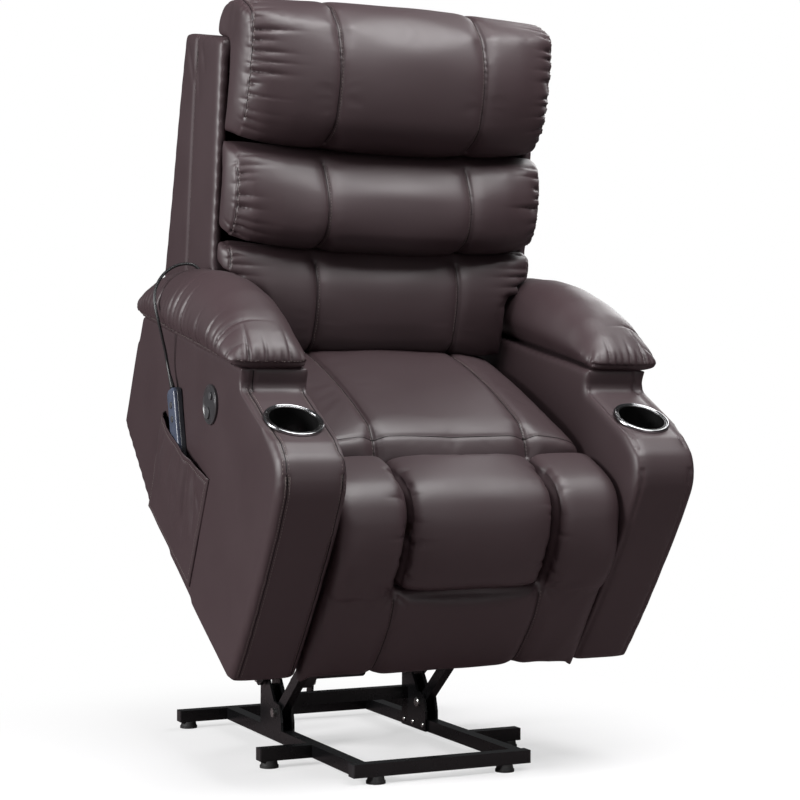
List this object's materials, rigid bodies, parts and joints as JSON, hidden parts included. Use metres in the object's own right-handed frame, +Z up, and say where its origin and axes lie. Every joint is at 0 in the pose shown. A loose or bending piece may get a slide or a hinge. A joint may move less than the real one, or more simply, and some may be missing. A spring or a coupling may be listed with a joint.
{
  "type": "lift recliner chair",
  "caption": "Padded lift recliner, raised, on a black tube base with a four-bar lift, folding footrest, reclining back, cup holders and a corded handset in a side pocket.",
  "frame": {"origin": "on the floor under the middle of the chair's outline, measured without the handset cable", "axes": "+Z up; the chair faces -Y; +X is on the left of a person facing the chair's front seen from behind, the sitter's right is -X"},
  "size_m": [0.9133, 0.9713, 1.5014],
  "materials": {
    "leather": "satin dark brown polyurethane leather",
    "black_tube": "satin black powder coat",
    "link_steel": "black oxide on flat bar",
    "bright_steel": "zinc plated",
    "black_plastic": "fine texture",
    "actuator_tube": "anodised",
    "rubber_feet": "matte",
    "plywood": "raw",
    "webbing": "woven elastic",
    "cup_plastic": "moulded with a grey rolled rim",
    "handset_shell": "dark shell with a pale blue grey face",
    "cable_jacket": "soft jacket",
    "handset_keys": "smooth",
    "plate_keys": "smooth"
  },
  "bodies": {
    "base": {"base_front_bar": "black_tube", "base_rear_bar": "black_tube", "base_side_rails": "black_tube", "base_outriggers": "black_tube", "base_tube_caps": "black_plastic", "base_feet": "rubber_feet", "riser_left": "black_tube", "riser_right": "black_tube", "riser_cross_tube": "black_tube", "base_bolts": "bright_steel", "actuator_clevis": "black_tube"},
    "rear_links": {"rear_lift_links": "black_tube"},
    "front_links": {"front_lift_links": "black_tube"},
    "chair": {"lift_frame": "black_tube", "lift_front_cross_tube": "black_tube", "actuator_cross_tube": "black_tube", "chair_pins": "bright_steel", "side_plates": "black_tube", "seat_frame": "plywood", "seat_webbing": "webbing", "seat_cushion": "leather", "arm_left": "leather", "arm_right": "leather", "arm_pad_left": "leather", "arm_pad_right": "leather", "cup_holder_left": "cup_plastic", "cup_holder_right": "cup_plastic", "side_pocket": "leather", "control_plate": "black_plastic", "handset": "handset_shell", "strain_relief": "cable_jacket", "handset_cable": "cable_jacket"},
    "plate_key_small": {"plate_key_small": "plate_keys"},
    "plate_key_large": {"plate_key_large": "plate_keys"},
    "handset_key_up": {"handset_key_up": "handset_keys"},
    "handset_key_down": {"handset_key_down": "handset_keys"},
    "lift_actuator": {"actuator_gearbox": "black_plastic", "actuator_motor": "black_plastic", "actuator_tube": "actuator_tube"},
    "lift_rod": {"actuator_rod": "bright_steel", "rod_pin": "bright_steel"},
    "footrest_swing": {"footrest_swing_links": "link_steel", "footrest_drive_tube": "link_steel"},
    "footrest_guide": {"footrest_guide_links": "link_steel"},
    "footrest_arms": {"footrest_arms": "link_steel"},
    "footrest": {"footrest_board": "plywood", "footrest_hinges": "black_tube", "footrest_pad_middle": "leather", "footrest_pad_side_left": "leather", "footrest_pad_side_right": "leather", "footrest_pad_lower": "leather"},
    "backrest": {"back_shell": "leather", "back_uprights": "black_tube", "back_board": "plywood", "head_cushion": "leather", "middle_cushion": "leather", "lower_cushion": "leather", "lower_cushion_ends": "leather"}
  },
  "joints": [
    {"name": "lift", "type": "hinge", "parent": "base", "child": "rear_links", "pos_m": [0, 0.23, 0.136], "axis": [1, 0, 0], "range_deg": [0, 38.5]},
    {"name": "chair_tilt", "type": "hinge", "parent": "rear_links", "child": "chair", "pos_m": [0, -0.1187, 0.36679], "axis": [1, 0, 0], "range_deg": [-67.6, 0]},
    {"name": "front_links_swing", "type": "hinge", "parent": "base", "child": "front_links", "pos_m": [0, 0.167, 0.072], "axis": [1, 0, 0], "range_deg": [0, 39.8]},
    {"name": "lift_actuator_swing", "type": "hinge", "parent": "base", "child": "lift_actuator", "pos_m": [0, 0.454, 0.086], "axis": [1, 0, 0], "range_deg": [0, 32.7]},
    {"name": "lift_rod_slide", "type": "slide", "parent": "lift_actuator", "child": "lift_rod", "axis": [0, 0.76, -0.6499], "range_m": [0, 0.1212]},
    {"name": "footrest", "type": "hinge", "parent": "chair", "child": "footrest_swing", "pos_m": [0, -0.27196, 0.47621], "axis": [-1, 0, 0], "range_deg": [0, 104]},
    {"name": "footrest_guide_swing", "type": "hinge", "parent": "chair", "child": "footrest_guide", "pos_m": [0, -0.21219, 0.47098], "axis": [-1, 0, 0], "range_deg": [0, 104.1]},
    {"name": "footrest_arms_swing", "type": "hinge", "parent": "footrest_swing", "child": "footrest_arms", "pos_m": [0, -0.07149, 0.37406], "axis": [-1, 0, 0], "range_deg": [-104.1, 0]},
    {"name": "footrest_pad_turn", "type": "hinge", "parent": "footrest_arms", "child": "footrest", "pos_m": [0, -0.29563, 0.39367], "axis": [-1, 0, 0], "range_deg": [0, 90.1]},
    {"name": "recline", "type": "hinge", "parent": "chair", "child": "backrest", "pos_m": [0, 0.14588, 0.77642], "axis": [-1, 0, 0], "range_deg": [0, 45]},
    {"name": "plate_key_small_press", "type": "slide", "parent": "chair", "child": "plate_key_small", "axis": [1, 0, 0], "range_m": [0, 0.0015], "stiffness_N_per_m": 400},
    {"name": "plate_key_large_press", "type": "slide", "parent": "chair", "child": "plate_key_large", "axis": [1, 0, 0], "range_m": [0, 0.0015], "stiffness_N_per_m": 400},
    {"name": "handset_key_up_press", "type": "slide", "parent": "chair", "child": "handset_key_up", "axis": [1, 0, 0], "range_m": [0, 0.0015], "stiffness_N_per_m": 400},
    {"name": "handset_key_down_press", "type": "slide", "parent": "chair", "child": "handset_key_down", "axis": [1, 0, 0], "range_m": [0, 0.0015], "stiffness_N_per_m": 400}
  ],
  "couplings": [
    {"joint": "chair_tilt", "follows": "lift", "ratio": -1.7532},
    {"joint": "front_links_swing", "follows": "lift", "ratio": 1.0325},
    {"joint": "lift_actuator_swing", "follows": "lift", "ratio": 0.8467},
    {"joint": "lift_rod_slide", "follows": "lift", "m_per_rad": 0.17985},
    {"joint": "footrest_guide_swing", "follows": "footrest", "ratio": 1},
    {"joint": "footrest_arms_swing", "follows": "footrest", "ratio": -1},
    {"joint": "footrest_pad_turn", "follows": "footrest", "ratio": 0.86538}
  ]
}
